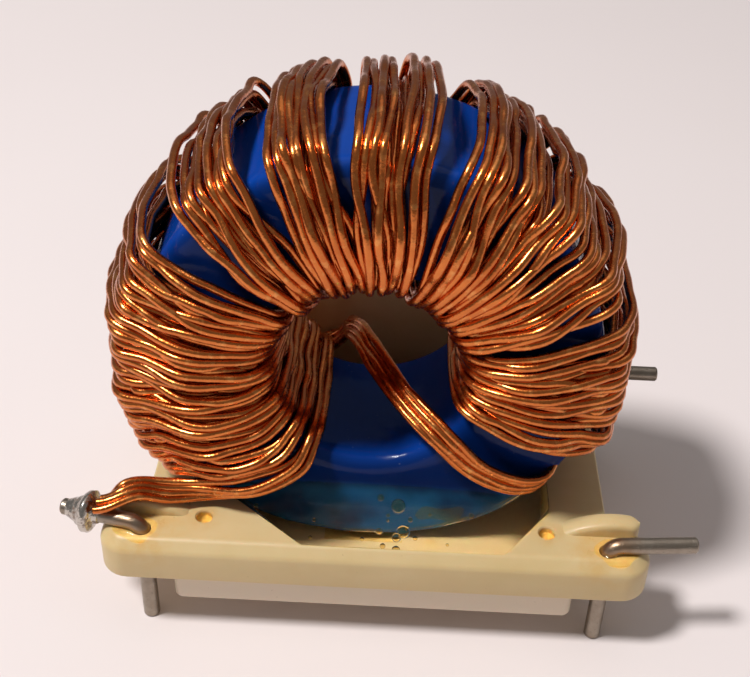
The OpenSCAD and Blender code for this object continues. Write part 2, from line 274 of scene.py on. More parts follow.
def tube(name, path, radii, sides):
    """A round closed tube along a path; its side direction is carried along the path."""
    rings = []
    side = None
    for i, point in enumerate(path):
        ahead = path[min(i + 1, len(path) - 1)] - path[max(i - 1, 0)]
        ahead = ahead.normalized()
        side = side if side is not None else ahead.orthogonal().normalized()
        side = (side - side.dot(ahead) * ahead).normalized()
        up = ahead.cross(side)
        rings.append([point + side * q.x + up * q.y for q in circle(radii[i], sides)])
    return stacked(name, rings)


def pin_path(pin, drop=0.0):
    """Middle line of a bent pin from the end of its leg to the tip of its arm."""
    foot, out, reach = pin_frame(pin)
    path = [foot + Vector((0, 0, z)) for z in (-drop, 0.12 * MM - drop, 2.6 * MM, 5.2 * MM)]
    centre = foot + out * BEND_R + Vector((0, 0, ARM_Z - BEND_R))
    for i in range(13):
        a = math.pi / 2 * i / 12
        path.append(centre - out * BEND_R * math.cos(a) + Vector((0, 0, BEND_R * math.sin(a))))
    for part in (0.5, 1.0):
        path.append(foot + out * (BEND_R + (reach - 0.12 * MM - BEND_R) * part) + Vector((0, 0, ARM_Z)))
    path.append(foot + out * reach + Vector((0, 0, ARM_Z)))
    return path


def pocket_outline(grow=0.0):
    """Outline of the pocket, its corners moved outwards by the given amount."""
    end = FACE_Y + 0.4 * MM
    corners = [
        (-5.2 * MM, -POCKET_Y), (9.2 * MM, -POCKET_Y), (12.6 * MM, -end), (12.6 * MM, end),
        (9.2 * MM, WALL_Y), (-5.2 * MM, WALL_Y), (-10.4 * MM, end), (-10.4 * MM, -end),
    ]
    return [Vector(c) + Vector(c).normalized() * grow for c in corners]


def core_ring_mesh(name, grow):
    """The ring of the core, grown outwards all over by the given amount."""
    around = 160
    section = rounded_box(CORE_RO - CORE_RI + 2 * grow, CORE_H + 2 * grow, CORE_ROUND + grow)
    count = len(section)
    points = []
    faces = []
    for i in range(around):
        a = 2 * math.pi * i / around
        for p in section:
            radius = MIDDLE_R + p.x
            points.append((CORE_X + radius * math.cos(a), p.y, CORE_Z + radius * math.sin(a)))
        for k in range(count):
            a0, a1 = i * count + k, i * count + (k + 1) % count
            b0, b1 = ((i + 1) % around) * count + k, ((i + 1) % around) * count + (k + 1) % count
            faces.append((a0, a1, b1, b0))
    return outwards(meshed(name, points, faces))


def outwards(body):
    """Merges doubles and turns every face to the outside."""
    shell = bmesh.new()
    shell.from_mesh(body.data)
    bmesh.ops.remove_doubles(shell, verts=shell.verts, dist=0.0005 * MM)
    bmesh.ops.recalc_face_normals(shell, faces=shell.faces)
    shell.to_mesh(body.data)
    shell.free()
    return body


ear_middle = (BASE_D - EAR_D) / 2
ear_sizes = (BASE_W, EAR_D, EAR_R, PLATE_Z, BASE_TOP, 0.25 * MM, BEVEL)
plate_sizes = (WAIST_W, BASE_D - 4 * MM, 0.3 * MM, PLATE_Z, BASE_TOP, 0.1 * MM, 0.12 * MM)
base = stacked("base_moulding", edge_rings(*ear_sizes, -ear_middle))
back_ears = stacked("ears", edge_rings(*ear_sizes, ear_middle))
plate = stacked("plate", edge_rings(*plate_sizes))
foot_profile = [(inset * MM, FOOT_Z + along * MM) for inset, along in SOFT_EDGE]
foot_profile.append((0, ROOTED_Z))
foot = stacked("foot", [
    level(rounded_box(FOOT_W - 2 * inset, FOOT_D - 2 * inset, 0.6 * MM), z)
    for inset, z in foot_profile
])
lips = [ridge(sx, sy) for sx, sy in CORNERS]
wall = back_wall()
for tool in [base, back_ears, plate, foot, wall] + lips:
    outwards(tool)
cut(base, [back_ears, plate, foot, wall] + lips, "UNION")
pocket = outwards(stacked("pocket", [
    level(pocket_outline(), z) for z in (POCKET_FLOOR, BASE_TOP + 3 * MM)
]))
seat_r = CORE_RO + 0.2 * MM
seat_half = FACE_Y + 0.25 * MM
seat_tool = outwards(stacked("seat", [
    [Vector((CORE_X + seat_r * p.x, y, CORE_Z + seat_r * p.y)) for p in circle(1.0, 120)]
    for y in (-seat_half, seat_half)
]))
dimples = [
    outwards(stacked("dimple", [
        level(circle(r * MM, 24), BASE_TOP + z * MM, (sx * DIMPLE_X, sy * DIMPLE_Y))
        for r, z in DIMPLE_PROFILE
    ]))
    for sx, sy in CORNERS
]
bores = []
for pin in PINS:
    path = pin_path(pin, 0.5 * MM)
    bores.append(outwards(tube("bore", path, [PIN_R + 0.05 * MM] * len(path), 24)))
cut(base, [pocket, seat_tool] + dimples + bores)
outwards(base)
smooth(base, 32)


class Field:
    """A number that changes over a surface, held as a node socket, so that sums can be written."""

    def __init__(self, tree, socket):
        self.tree = tree
        self.socket = socket

    def sum(self, operation, *values, clamp=False):
        settings = {"operation": operation, "use_clamp": clamp}
        return self.tree.add("ShaderNodeMath", settings, dict(enumerate(values)))

    def __add__(self, other):
        return self.sum("ADD", self, other)

    def __sub__(self, other):
        return self.sum("SUBTRACT", self, other)

    def __rsub__(self, other):
        return self.sum("SUBTRACT", other, self)

    def __mul__(self, other):
        return self.sum("MULTIPLY", self, other)

    def __truediv__(self, other):
        return self.sum("DIVIDE", self, other)

    def __rtruediv__(self, other):
        return self.sum("DIVIDE", other, self)

    def clip(self):
        """Kept between 0 and 1."""
        return self.sum("ADD", self, 0.0, clamp=True)

    def over(self, low, high):
        """0 at the low value, 1 at the high one, with a soft change between them."""
        return self.tree.add(
            "ShaderNodeMapRange",
            {"interpolation_type": "SMOOTHSTEP"},
            {"Value": self, "From Min": low, "From Max": high},
        )

    __radd__ = __add__
    __rmul__ = __mul__


class Tree:
    """A node tree in which one call adds a node with its settings and its values or links."""

    def __init__(self, nodes):
        self.nodes = nodes

    def add(self, kind, settings=None, values=None, out=0):
        node = self.nodes.nodes.new(kind)
        for key, value in (settings or {}).items():
            setattr(node, key, value)
        for key, value in (values or {}).items():
            self.put(node.inputs[key], value)
        return Field(self, node.outputs[out])

    def vector(self, operation, *values, out=0, **named):
        """A vector worked out from vectors; a number, such as a length, is its second result."""
        sockets = {**dict(enumerate(values)), **named}
        return self.add("ShaderNodeVectorMath", {"operation": operation}, sockets, out=out)

    def put(self, place, value):
        if isinstance(value, Field):
            self.nodes.links.new(value.socket, place)
        elif place.type == "RGBA" and len(value) == 3:
            place.default_value = (*value, 1.0)
        else:
            place.default_value = value


class Finish(Tree):
    """A material whose Principled shader takes constants and fields by the names of its sockets."""

    def __init__(self, name):
        self.material = bpy.data.materials.new(name)
        self.material.use_nodes = True
        super().__init__(self.material.node_tree)
        self.shader = self.nodes.nodes["Principled BSDF"]
        self.place = self.add("ShaderNodeTexCoord", out=3)

    def spots(self, size, detail=3.0, rough=0.5, stretch=(1, 1, 1), seed=0.0):
        """Noise between 0 and 1 whose patches are about the given size across."""
        vector = self.place
        if stretch != (1, 1, 1) or seed:
            shift = seed * 0.01
            vector = self.add("ShaderNodeMapping", {}, {
                "Vector": vector, "Scale": stretch, "Location": (shift, shift * 0.7, shift * 1.3),
            })
        return self.add("ShaderNodeTexNoise", {}, {
            "Vector": vector, "Scale": 1 / size, "Detail": detail, "Roughness": rough,
        })

    def along(self, axis):
        """How far along an axis a point lies: 0 is X, 1 is Y and 2 is Z."""
        return self.add("ShaderNodeSeparateXYZ", {}, {"Vector": self.place}, out=axis)

    def near(self, point, radius, soft):
        """1 within the radius of a point, falling to 0 over the soft length."""
        return 1 - self.vector("DISTANCE", self.place, point, out=1).over(radius, radius + soft)

    def blend(self, share, first, second):
        """A colour between two colours."""
        return self.add("ShaderNodeMix", {"data_type": "RGBA"}, {0: share, 6: first, 7: second}, out=2)

    def bumps(self, height, depth):
        """A normal that follows a height field; depth is the height of 1 in metres."""
        return self.add("ShaderNodeBump", {}, {"Height": height, "Distance": depth, "Strength": 1.0})

    def finish(self, **values):
        for name, value in values.items():
            self.put(self.shader.inputs[name.replace("_", " ")], value)
        return self.material


def greatest(fields):
    """The largest of several fields."""
    result = fields[0]
    for field in fields[1:]:
        result = result.sum("MAXIMUM", result, field)
    return result


def cream_moulding():
    finish = Finish("cream_moulding")
    cream = (0.57, 0.41, 0.175)
    pale = (0.71, 0.56, 0.31)
    amber = (0.62, 0.36, 0.10)
    mottle = finish.spots(5 * MM, 4.0, 0.6)
    flow = finish.spots(2.4 * MM, 2.0, 0.5, (0.3, 1.2, 1.0), 1.0)
    colour = finish.blend((mottle * 0.7 + flow * 0.5 - 0.1).clip(), cream, pale)
    at_pins = (LEG_X - 0.3 * MM, LEG_Y - 0.05 * MM, 1.0 * MM, 2.6 * MM)
    at_dimples = (DIMPLE_X, DIMPLE_Y, 0.5 * MM, 1.3 * MM)
    marks = [
        finish.near((sx * x, sy * y, BASE_TOP), radius, soft)
        for x, y, radius, soft in (at_pins, at_dimples)
        for sx, sy in CORNERS
    ]
    stain = greatest(marks) * finish.spots(1.3 * MM, 3.0, 0.6, seed=2.0).over(0.3, 0.7)
    colour = finish.blend((stain * 0.55).clip(), colour, amber)
    below_plate = 1 - finish.along(2).over(PLATE_Z - 0.25 * MM, PLATE_Z - 0.05 * MM)
    colour = finish.blend(below_plate * 0.8, colour, (0.72, 0.61, 0.49))
    specks = finish.spots(0.35 * MM, 2.0, 0.5, seed=3.0).over(0.74, 0.80)
    colour = finish.blend(specks * 0.35, colour, (0.30, 0.20, 0.11))
    grain = finish.spots(0.16 * MM, 3.0, 0.6)
    scratches = finish.spots(0.5 * MM, 2.0, 0.5, (1.0, 14.0, 1.0), 4.0).over(0.66, 0.72)
    relief = grain * 0.4 + mottle * 1.5 - scratches * 0.5
    return finish.finish(
        Base_Color=colour,
        Roughness=0.34 + mottle * 0.18 - stain * 0.16,
        Subsurface_Weight=0.12,
        Subsurface_Scale=0.8 * MM,
        Specular_IOR_Level=0.5,
        Normal=finish.bumps(relief, 0.012 * MM),
    )


base.data.materials.clear()
base.data.materials.append(cream_moulding())
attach(base, "root")
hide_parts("base")

# ---------------------------------------------------------------------------------------------
# Core. A ring core dipped in glossy blue resin, which leaves soft round edges and a surface that
# waves slightly. It stands on edge in the pocket of the base, glued at its foot.
# ---------------------------------------------------------------------------------------------


class Shape(Tree):
    """A geometry tree with named inputs, whose end realises its parts and sets their material."""

    def __init__(self, name, sizes):
        tree = bpy.data.node_groups.new(name, "GeometryNodeTree")
        tree.interface.new_socket("Geometry", in_out="INPUT", socket_type="NodeSocketGeometry")
        tree.interface.new_socket("Geometry", in_out="OUTPUT", socket_type="NodeSocketGeometry")
        self.sizes = {}
        for label, value in sizes.items():
            kind = "NodeSocketInt" if isinstance(value, int) else "NodeSocketFloat"
            socket = tree.interface.new_socket(label, in_out="INPUT", socket_type=kind)
            self.sizes[label] = (socket.identifier, value)
        super().__init__(tree)
        self.start = tree.nodes.new("NodeGroupInput")

    def given(self, label):
        return Field(self, self.start.outputs[label])

    def end(self, geometry, material):
        shaded = self.add("GeometryNodeSetShadeSmooth", {}, {"Geometry": geometry})
        plain = self.add("GeometryNodeRealizeInstances", {}, {"Geometry": shaded})
        finished = self.add("GeometryNodeSetMaterial", {}, {"Geometry": plain, "Material": material})
        out = self.nodes.nodes.new("NodeGroupOutput")
        self.nodes.links.new(finished.socket, out.inputs[0])

    def made(self, name, source=None, **changes):
        """The tree's result on a source object as one plain mesh object with the given name."""
        if source is None:
            source = placed(name, bpy.data.meshes.new(name))
        modifier = source.modifiers.new("shape", "NODES")
        modifier.node_group = self.nodes
        for label, (identifier, value) in self.sizes.items():
            modifier[identifier] = changes.get(label, value)
        mesh = evaluated_mesh(source)
        mesh.name = name
        bpy.data.objects.remove(source)
        return placed(name, mesh)


def blue_coating():
    finish = Finish("blue_coating")
    deep = (0.0025, 0.032, 0.23)
    bright = (0.004, 0.060, 0.36)
    cloud = finish.spots(6 * MM, 3.0, 0.5)
    pull = finish.spots(1.7 * MM, 2.0, 0.4, (1.0, 0.4, 1.0), 1.0)
    colour = finish.blend((cloud * 0.8 + pull * 0.3 - 0.05).clip(), deep, bright)
    off_middle = finish.add("ShaderNodeMath", {"operation": "ABSOLUTE"}, {0: finish.along(1)})
    # painted shade: the core's flat front and back faces are made a darker navy, standing in for the dim
    # light that reaches them from in front
    painted_face_shade = off_middle.over(FACE_Y - 0.9 * MM, FACE_Y)
    colour = finish.blend(painted_face_shade * 0.75, colour, (0.001, 0.009, 0.055))
    wet = (1 - finish.along(2).over(BASE_TOP + 0.6 * MM, BASE_TOP + 2.0 * MM)) * cloud.over(0.25, 0.6)
    colour = finish.blend(wet * 0.85, colour, (0.012, 0.14, 0.55))
    dust = finish.spots(0.28 * MM, 2.0, 0.5, seed=2.0).over(0.73, 0.79)
    colour = finish.blend(dust * 0.3, colour, (0.18, 0.22, 0.32))
    smear = finish.spots(3.2 * MM, 4.0, 0.65, (1.0, 1.0, 0.4), 3.0).over(0.45, 0.75)
    peel = finish.spots(0.9 * MM, 2.0, 0.4, seed=4.0)
    return finish.finish(
        Base_Color=colour,
        Roughness=0.10 + smear * 0.16 + dust * 0.3,
        Specular_IOR_Level=0.13,
        Coat_Weight=0.03,
        Coat_Roughness=0.05,
        Normal=finish.bumps(peel + cloud * 2.0, 0.03 * MM),
    )


def ring_shape(material):
    """A ring on edge: a rounded box swept round a circle, with its surface waving a little."""
    shape = Shape("dipped_ring", {
        "middle radius": MIDDLE_R,
        "wall": CORE_RO - CORE_RI,
        "thickness": CORE_H,
        "edge round": CORE_ROUND,
        "wave height": 0.05 * MM,
    })
    circle_round = shape.add("GeometryNodeCurvePrimitiveCircle", {"mode": "RADIUS"}, {
        "Resolution": 240, "Radius": shape.given("middle radius"),
    })
    box = shape.add("GeometryNodeCurvePrimitiveQuadrilateral", {"mode": "RECTANGLE"}, {
        "Width": shape.given("wall"), "Height": shape.given("thickness"),
    })
    section = shape.add("GeometryNodeFilletCurve", {"mode": "POLY"}, {
        "Curve": box, "Count": 9, "Radius": shape.given("edge round"),
    })
    fine = shape.add("GeometryNodeResampleCurve", {}, {"Curve": section, "Count": 96})
    swept = shape.add("GeometryNodeCurveToMesh", {}, {"Curve": circle_round, "Profile Curve": fine})
    on_edge = shape.add("GeometryNodeTransform", {}, {
        "Geometry": swept,
        "Translation": (CORE_X, 0, CORE_Z),
        "Rotation": (math.pi / 2, 0, 0),
    })
    place = shape.add("GeometryNodeInputPosition")
    wave = shape.add("ShaderNodeTexNoise", {}, {"Vector": place, "Scale": 1 / (4.5 * MM), "Detail": 1.0})
    normal = shape.add("GeometryNodeInputNormal")
    push = shape.vector("SCALE", normal, Scale=(wave - 0.6) * shape.given("wave height") * 2.0)
    waved = shape.add("GeometryNodeSetPosition", {}, {"Geometry": on_edge, "Offset": push})
    shape.end(waved, material)
    return shape


core = outwards(ring_shape(blue_coating()).made("core_ring"))
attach(core, "root")
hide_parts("core")

# ---------------------------------------------------------------------------------------------
# Adhesive. Clear amber casting resin poured round the foot of the core. It fills the pocket, draws
# up the faces of the core and keeps a few air bubbles. Drops of it seal the pins and the dimples.
# ---------------------------------------------------------------------------------------------


def pool_height(x, y):
    """Height of the resin's free surface over the base: a slope from the core's face to the rim."""
    out = max(0.0, abs(y) - FACE_Y)
    reach = POCKET_Y - FACE_Y
    along = max(0.0, 1 - ((x - CORE_X - 0.8 * MM) / (13.5 * MM)) ** 2)
    climb = 1.75 * MM * along ** 0.5 if along > 0 else 0.0
    slope = math.exp(-out / (1.35 * MM)) * climb
    edge = min(1.0, max(0.0, (reach - out) / (0.5 * MM)))
    ripple = 0.10 * MM * noise.noise(Vector((x, y, 0)) / (2.2 * MM)) * edge
    return BASE_TOP - 0.04 * MM + slope + ripple + 0.05 * MM * edge


def pool():
    """The resin in the pocket, as a closed body under its free surface, cut round the core."""
    # how far the resin reaches into the moulding
    lap = 0.03 * MM
    outline = pocket_outline(lap)
    rings = 26
    around = 200
    lengths = [0.0]
    for a, b in zip(outline, outline[1:] + outline[:1]):
        lengths.append(lengths[-1] + (b - a).length)
    edge = []
    for i in range(around):
        at = lengths[-1] * i / around
        k = max(n for n in range(len(outline)) if lengths[n] <= at)
        a = outline[k]
        b = outline[(k + 1) % len(outline)]
        edge.append(a + (b - a) * ((at - lengths[k]) / (lengths[k + 1] - lengths[k])))
    mesh_rings = [[Vector((p.x, p.y, POCKET_FLOOR - lap)) for p in edge]]
    middle = Vector((1.1 * MM, 0))
    for r in range(rings):
        share = 1 - r / rings
        ring = []
        for p in edge:
            q = middle + (p - middle) * share
            ring.append(Vector((q.x, q.y, pool_height(q.x, q.y))))
        mesh_rings.append(ring)
    body = stacked("resin_pool", mesh_rings)
    outwards(body)
    cut(body, [core_ring_mesh("core_tool", -0.02 * MM)])
    return body


# bubbles inside the resin, in mm: x, y, depth under the surface, radius
BUBBLES = [
    (1.55, -10.75, 0.12, 0.30), (0.3, -9.2, 0.15, 0.24), (0.6, -10.2, 0.60, 0.20),
    (-0.9, -9.6, 0.70, 0.16), (2.9, -9.4, 0.55, 0.18), (2.3, -8.6, 0.35, 0.15),
    (0.9, -8.2, 0.25, 0.13), (-4.6, -9.9, 0.45, 0.14), (5.2, -10.0, 0.40, 0.12),
    (-2.2, 9.2, 0.30, 0.26), (3.4, 9.9, 0.45, 0.20),
]
# bubbles that stand up out of the surface under a thin skin, in mm: x, y, radius
BLISTERS = [
    (1.6, -7.45, 0.62), (2.0, -9.6, 0.50), (1.55, -10.1, 0.34), (0.3, -6.95, 0.30), (2.5, -8.4, 0.20),
    (0.9, -8.1, 0.16), (-8.7, -7.8, 0.20), (6.9, -7.85, 0.22), (3.9, -7.9, 0.14), (-4.4, -8.8, 0.15),
]


def ball(name, centre, radius, flat=1.0):
    """A small round body built from rings, for bubbles and drops."""
    rings = []
    for i in range(1, 12):
        a = math.pi * i / 12
        ring = level(circle(radius * math.sin(a), 20), centre.z - radius * flat * math.cos(a), centre)
        rings.append(ring)
    return outwards(stacked(name, rings))


def amber_resin():
    finish = Finish("amber_resin")
    clear = (0.96, 0.85, 0.52)
    dark = (0.90, 0.70, 0.34)
    cloud = finish.spots(3.5 * MM, 3.0, 0.5)
    colour = finish.blend((cloud * 1.1 - 0.1).clip(), clear, dark)
    ripple = finish.spots(1.6 * MM, 2.0, 0.5, seed=1.0)
    material = finish.finish(
        Base_Color=colour,
        Roughness=0.03 + cloud * 0.04,
        IOR=1.08,
        Transmission_Weight=1.0,
        Coat_Weight=0.25,
        Coat_Roughness=0.03,
        Coat_IOR=1.5,
        Normal=finish.bumps(ripple, 0.03 * MM),
    )
    # lamps shine through the resin, so that what lies under it is lit
    lamp_ray = finish.add("ShaderNodeLightPath", out=1)
    let_through = finish.add("ShaderNodeBsdfTransparent", {}, {"Color": (0.95, 0.88, 0.70)})
    both = finish.add("ShaderNodeMixShader", {}, {
        "Fac": lamp_ray, 1: Field(finish, finish.shader.outputs["BSDF"]), 2: let_through,
    })
    finish.put(finish.nodes.nodes["Material Output"].inputs["Surface"], both)
    return material


def drop(pin):
    """A low domed drop of resin at the elbow of a pin, with a wavering edge."""
    foot, out, _ = pin_frame(pin)
    side = 1 if foot.y > 0 else -1
    rings = []
    for i in range(9):
        share = i / 8
        ring = []
        for q in circle(1.0, 40):
            wide = 1 + 0.16 * noise.noise(Vector((q.x * 1.3 + foot.x / MM, q.y * 1.3 + foot.y / MM, 0)))
            r = (1 - share ** 1.3 * 0.98) * wide
            x = foot.x + out.x * 0.6 * MM + q.x * 1.75 * MM * r
            y = foot.y - side * 0.15 * MM + q.y * 1.25 * MM * r
            dome = 0.42 * MM * math.sin(math.pi / 2 * share)
            z = BASE_TOP - 0.25 * MM + 0.25 * MM * min(1.0, share * 4) + dome
            ring.append(Vector((x, y, z)))
        rings.append(ring)
    return outwards(stacked("drop", rings))


resin = amber_resin()
adhesive = pool()
for x, y, depth, radius in BUBBLES:
    top = pool_height(x * MM, y * MM)
    cut(adhesive, [ball("bubble", Vector((x * MM, y * MM, top - (depth + radius) * MM)), radius * MM)])
for x, y, radius in BLISTERS:
    centre = Vector((x * MM, y * MM, pool_height(x * MM, y * MM) + 0.15 * radius * MM))
    cut(adhesive, [ball("skin", centre, radius * MM)], "UNION")
    cut(adhesive, [ball("hollow", centre, radius * 0.78 * MM)])
smooth(adhesive, 40)
adhesive.data.materials.clear()
adhesive.data.materials.append(resin)
adhesive.name = "resin_pool"
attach(adhesive, "root")
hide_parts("adhesive")

for pin in PINS:
    spot = drop(pin)
    spot.name = "resin_drop_" + pin
    smooth(spot, 60)
    spot.data.materials.append(resin)
    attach(spot, "root")
for corner, (sx, sy) in enumerate([(-1, -1), (1, -1), (-1, 1), (1, 1)], 1):
    centre = Vector((sx * DIMPLE_X, sy * DIMPLE_Y, BASE_TOP - 0.3 * MM))
    spot = ball(f"resin_dimple_{corner}", centre, 0.58 * MM, 0.55)
    smooth(spot, 60)
    spot.data.materials.append(resin)
    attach(spot, "root")

# ---------------------------------------------------------------------------------------------
# Pins. Four lengths of round copper wire, tinned, each bent once: the leg goes down through an ear
# and the arm lies on the ear's flat top and sticks out past its end. The cut ends narrow a little.
# ---------------------------------------------------------------------------------------------


def tinned_wire():
    finish = Finish("tinned_wire")
    tin = (0.38, 0.33, 0.27)
    dull = (0.24, 0.19, 0.145)
    warm = (0.32, 0.19, 0.10)
    cloud = finish.spots(1.1 * MM, 4.0, 0.6)
    drawn = finish.spots(0.5 * MM, 3.0, 0.6, (0.25, 3.0, 3.0), 1.0)
    pits = finish.spots(0.16 * MM, 2.0, 0.5, seed=2.0).over(0.62, 0.75)
    colour = finish.blend((cloud * 1.6 - 0.35).clip(), tin, dull)
    elbow = Vector((LEG_X + 0.1 * MM, LEG_Y - 0.05 * MM, BASE_TOP + 0.4 * MM))
    flux = greatest([
        finish.near((sx * elbow.x, sy * elbow.y, elbow.z), 0.8 * MM, 2.2 * MM) for sx, sy in CORNERS
    ])
    colour = finish.blend((flux * cloud * 1.3).clip(), colour, warm)
    colour = finish.blend(pits * 0.5, colour, (0.12, 0.10, 0.08))
    return finish.finish(
        Base_Color=colour,
        Metallic=0.95 - pits * 0.3,
        Roughness=0.26 + cloud * 0.2 + pits * 0.2,
        Normal=finish.bumps(cloud + drawn * 0.6 - pits * 0.5, 0.03 * MM),
    )


tin = tinned_wire()
for pin in PINS:
    path = pin_path(pin)
    radii = [PIN_R] * len(path)
    radii[0] = PIN_R - 0.10 * MM
    radii[-1] = PIN_R - 0.09 * MM
    wire = outwards(tube("pin_" + pin + "_wire", path, radii, 28))
    smooth(wire, 35)
    wire.data.materials.append(tin)
    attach(wire, "root")
    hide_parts("pin_" + pin)

# ---------------------------------------------------------------------------------------------
# Winding. Four enamelled copper wires laid side by side and wound through the ring by hand, 25
# passes with a gap at the foot. The start is soldered to the front left pin; the end crosses the
# front and goes back through the ring to the back left pin. More wire lies under the turns.
# ---------------------------------------------------------------------------------------------
STRAND_D = 0.61 * MM
STRAND_PITCH = 0.62 * MM
LEAD_PITCH = 0.48 * MM
CORE_GAP = 0.18 * MM
STRANDS = 4
STATIONS = 16
# one row a turn, clockwise from the lower left seen from the front:
# angle at the outside, angle in the hole, slack outside in mm
TURNS = [
    (222, 238, 0.9), (211, 225, 1.3), (202, 213, 1.8), (193.5, 201.5, 1.5), (185, 190, 2.0),
    (176.5, 178.5, 1.7), (168, 167.5, 2.1), (159.5, 156.5, 1.7), (150, 145, 2.2), (130.8, 128.5, 2.3),
    (122.3, 118.5, 2.5), (108.6, 106.5, 2.4), (102.0, 97, 2.2), (91.6, 87.5, 2.3), (82.0, 78, 2.4),
    (67.6, 64.5, 2.3), (57.6, 55.5, 1.9), (47.4, 47, 2.2), (36.5, 38, 1.7), (27, 28.5, 2.0),
    (11.5, 14, 1.9), (2, 4, 1.6), (-7.5, -6, 1.5), (-16.5, -16, 1.7), (-27, -60, 0.8),
]
# turns which stand a little to one side outside the ring, in degrees
LEANS = {9: 1.0, 10: 1.0, 11: 1.2, 12: 1.8, 13: -1.6, 14: -1.2, 15: -1.5}
# how much of that lean each station outside the ring takes
LEAN_SHARE = {0: 1.0, 1: 0.6, 15: 0.6, 2: 0.2, 14: 0.2}
# how far the passes arch off the two faces of the core
FACE_ARCH = 1.3 * MM
# spacing of the wires in the layer underneath, which is less than their thickness
UNDER_PITCH = 0.52 * MM
# ways in which the strands change places outside: an outer one only with the one beside it
ORDERS = [(0, 1, 2, 3), (1, 0, 2, 3), (0, 1, 3, 2), (1, 0, 3, 2)]
# turns of the layer underneath lie between neighbouring turns, but not across a wide gap
WIDE_GAP = 10.3
UNDER = [
    ((a[0] + b[0]) / 2, (a[1] + b[1]) / 2, 0.35 * (a[2] + b[2]) / 2)
    for a, b in zip(TURNS, TURNS[1:])
    if a[0] - b[0] < WIDE_GAP
]
hand = random.Random(12)
TURN_ORDER = [hand.choice(ORDERS) for turn in TURNS]
TURN_EASE = [[hand.uniform(0.55, 1.0) for j in range(STRANDS)] for turn in TURNS]
TURN_SHIFT = [[hand.uniform(-0.14, 0.14) * MM for j in range(STRANDS)] for turn in TURNS]


def round_core(r, y, angle, along):
    """A point at a radius and angle about the core's axis, moved along the circle."""
    a = math.radians(angle) + along / r
    return Vector((CORE_X + r * math.cos(a), y, CORE_Z + r * math.sin(a)))


def spread_on_slant(k, from_angle, to_angle):
    """How much a slanting pass opens its strands so that they stay clear of each other."""
    run = math.radians(from_angle - to_angle) * (MIDDLE_R - 0.45 * MM)
    share = {11: 0.9, 13: 0.5}.get(k, 1.1)
    return 1 + (math.hypot(run, 7.5 * MM) / (7.5 * MM) - 1) * share


def room_outside(i):
    """Spacing of a turn's strands outside the ring: they share the room up to the nearest turn."""
    gaps = [abs(TURNS[i][0] - TURNS[n][0]) for n in (i - 1, i + 1) if 0 <= n < len(TURNS)]
    share = math.radians(min(gaps)) * CORE_RO / STRANDS
    return min(max(share, 0.50 * MM), 0.64 * MM)


def station(i, j, k):
    """Where strand j is at station k of turn i; the stations go once round the ring's section.

    0 is outside, 1 to 3 the front outer edge, 4 the front face, 5 to 7 the front inner edge, 8
    the hole, and 9 to 15 the same in reverse on the back. In the hole the strands lie two by two.
    """
    turn = TURNS[i]
    n = min(i + 1, len(TURNS) - 1)
    following = TURNS[n]
    m = n if k >= 12 else i
    row = TURNS[m]
    odd = i % 2
    outside = k <= 3 or k >= 13
    rise = 1 if j in (1, 2) else 0
    lane = TURN_ORDER[m][j] if outside else j
    side = -1 if lane < 2 else 1
    flank = 1 if lane in (0, 3) else 0
    s = -1 if k <= 8 else 1
    a_out, a_in, slack = row[0], turn[1], row[2] * MM * TURN_EASE[m][j]
    a_out += LEANS.get(m, 0) * LEAN_SHARE.get(k, 0)
    slanting = k == 4 or 11 <= k <= 13
    q = spread_on_slant(k, turn[0] if k == 4 else following[0], a_in) if slanting else 1
    spread = room_outside(m) if outside else STRAND_PITCH
    half = spread * (0.556 if 11 <= k <= 12 else 0.516)
    opened = 1 if k <= 4 or k >= 12 else 0.35 if k in (5, 11) else 0
    t = q * side * (half + flank * spread * opened) + (TURN_SHIFT[m][j] if outside else 0)
    flat = FACE_Y - CORE_ROUND
    c = math.sqrt(0.5)
    layer = 0 if k in (0, 1, 15) else 0.3 * odd + (0.3 if outside else 0.85) * rise
    e = CORE_GAP + STRAND_D / 2 + layer * STRAND_PITCH
    er = CORE_ROUND + e
    # radius, distance off the middle plane and angle, from the outside to the hole
    places = [
        (CORE_RO + e + slack, 0, a_out),
        (CORE_RO + e + 0.66 * slack, flat - 0.2 * MM, a_out),
        (CORE_RO - CORE_ROUND + er * c + 0.52 * slack, flat + er * c, a_out),
        (CORE_RO - CORE_ROUND + 0.3 * slack, flat + er, a_out),
        (MIDDLE_R + 0.2 * MM, FACE_Y + e + FACE_ARCH * TURN_EASE[m][j], a_out * 0.55 + a_in * 0.45),
        (CORE_RI + CORE_ROUND, flat + er + 0.3 * FACE_ARCH, a_in),
        (CORE_RI + CORE_ROUND - er * c, flat + er * c, a_in),
        (CORE_RI - e, flat, a_in),
        (CORE_RI - e - 0.1 * MM, 0, a_in),
    ]
    r, y, angle = places[min(k, STATIONS - k)]
    return round_core(r, s * y, angle, t)


def beside_arm(pin, past, j, r):
    """A point beside a left pin's arm, past the end of the base, on a circle round the arm."""
    _, sy, turn, _ = PINS[pin]
    reach = BASE_W / 2 - LEG_X + past * MM
    a = math.radians(turn)
    phi = math.radians(62 - 31 * j)
    inward = -sy * r * MM * math.sin(phi)
    return Vector((
        -LEG_X - reach * math.cos(a) + inward * math.sin(a),
        sy * LEG_Y + reach * math.sin(a) + inward * math.cos(a),
        ARM_Z + r * MM * math.cos(phi),
    ))


def lead(middle, direction, j, sign):
    """Strand j of a free lead: the middle of the four in mm and their side-by-side direction."""
    return Vector(middle) * MM + Vector(direction).normalized() * (sign * (j - 1.5) * LEAD_PITCH)


def over_ear(sy, x, y, z):
    """A point over a left ear, in mm from the leg and the flat top of the base."""
    return (-LEG_X / MM + x, sy * (LEG_Y / MM + y), BASE_TOP / MM + z)


def off_core(x, y, z):
    """A point in mm from the core's axis, with y from its middle plane."""
    return (CORE_X / MM + x, y, CORE_Z / MM + z)


